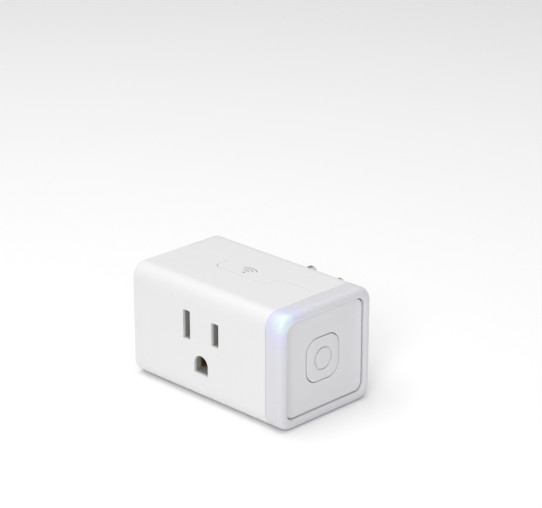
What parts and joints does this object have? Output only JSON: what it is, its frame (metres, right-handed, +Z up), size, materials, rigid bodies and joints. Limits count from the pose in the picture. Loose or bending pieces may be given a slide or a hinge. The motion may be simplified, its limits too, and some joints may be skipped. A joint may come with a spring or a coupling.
{
  "type": "smart plug",
  "caption": "Plug-in switched outlet adapter: a rounded box with a grounded receptacle in front, prongs behind, and a glowing ring around an end panel with a square push button.",
  "frame": {"origin": "on the back face that meets the wall plate, midway between the two blades", "axes": "+X along the case towards the button end, +Y back into the wall outlet, +Z up; the ground pin is below the blades"},
  "size_m": [0.0666, 0.0609, 0.038],
  "materials": {
    "white_shell": "satin white moulded plastic",
    "frosted_ring": "frosted translucent plastic",
    "panel_plastic": "satin light grey moulded plastic",
    "button_plastic": "satin light grey moulded plastic",
    "nickel_plate": "nickel plated brass, satin",
    "spring_bronze": "rolled spring bronze",
    "copper_strip": "tinned copper strip",
    "pale_insulator": "pale moulded insulator",
    "dark_insulator": "dark moulded insulator",
    "board_green": "solder mask over glass board",
    "board_blue": "solder mask over glass board",
    "relay_blue": "moulded case",
    "bobbin_ivory": "moulded bobbin",
    "enamelled_wire": "enamelled copper wire",
    "core_steel": "zinc plated soft iron",
    "ferrite": "sintered ferrite",
    "winding_tape": "yellow polyester tape",
    "can_sleeve": "shrink sleeve",
    "film_yellow": "potted box",
    "fuse_ceramic": "ceramic tube",
    "varistor_blue": "dipped coating",
    "chip_black": "moulded package",
    "switch_black": "moulded switch",
    "spring_steel": "stainless spring sheet",
    "tinned_sheet": "tinned sheet",
    "screw_zinc": "zinc plated",
    "led_white": "lamp package",
    "clear_guide": "clear acrylic"
  },
  "bodies": {
    "case": {"front_housing": "white_shell", "rear_cover": "white_shell", "light_ring": "frosted_ring", "end_panel": "panel_plastic", "switch_body": "switch_black", "switch_dome": "spring_steel", "hot_blade": "nickel_plate", "neutral_blade": "nickel_plate", "ground_pin": "nickel_plate", "hot_contact": "spring_bronze", "neutral_contact": "spring_bronze", "ground_contact": "spring_bronze", "contact_carrier": "pale_insulator", "ground_strap": "copper_strip", "line_strap": "copper_strip", "power_board": "board_green", "board_screws": "screw_zinc", "relay_base": "dark_insulator", "relay_case": "relay_blue", "relay_bobbin": "bobbin_ivory", "relay_coil": "enamelled_wire", "relay_core": "core_steel", "relay_yoke": "core_steel", "relay_fixed_contact": "copper_strip", "transformer_core": "ferrite", "transformer_bobbin": "dark_insulator", "transformer_winding": "winding_tape", "bulk_capacitor": "can_sleeve", "output_capacitor": "can_sleeve", "line_capacitor": "film_yellow", "fuse": "fuse_ceramic", "varistor": "varistor_blue", "inductor": "ferrite", "rectifier": "chip_black", "controller_chip": "chip_black", "control_board": "board_green", "pin_header": "dark_insulator", "wifi_module": "board_blue", "shield_can": "tinned_sheet", "antenna": "copper_strip", "status_led": "led_white", "light_guide": "clear_guide"},
    "button": {"button_cap": "button_plastic"},
    "plunger": {"switch_plunger": "switch_black"},
    "armature": {"relay_armature": "core_steel", "relay_contact_arm": "spring_bronze"}
  },
  "joints": [
    {"name": "button_press", "type": "slide", "parent": "case", "child": "button", "axis": [-1, 0, 0], "range_m": [0, 0.0004], "stiffness_N_per_m": 500, "springref_m": -0.0004},
    {"name": "plunger_press", "type": "slide", "parent": "case", "child": "plunger", "axis": [-1, 0, 0], "range_m": [0, 0.0004]},
    {"name": "armature_pull", "type": "hinge", "parent": "case", "child": "armature", "pos_m": [0.0164, -0.0185, -0.0048], "axis": [-1, 0, 0], "range_deg": [0, 4], "stiffness_Nm_per_rad": 0.02, "springref_deg": -5.73}
  ],
  "couplings": [
    {"joint": "plunger_press", "follows": "button_press", "ratio": 1}
  ]
}
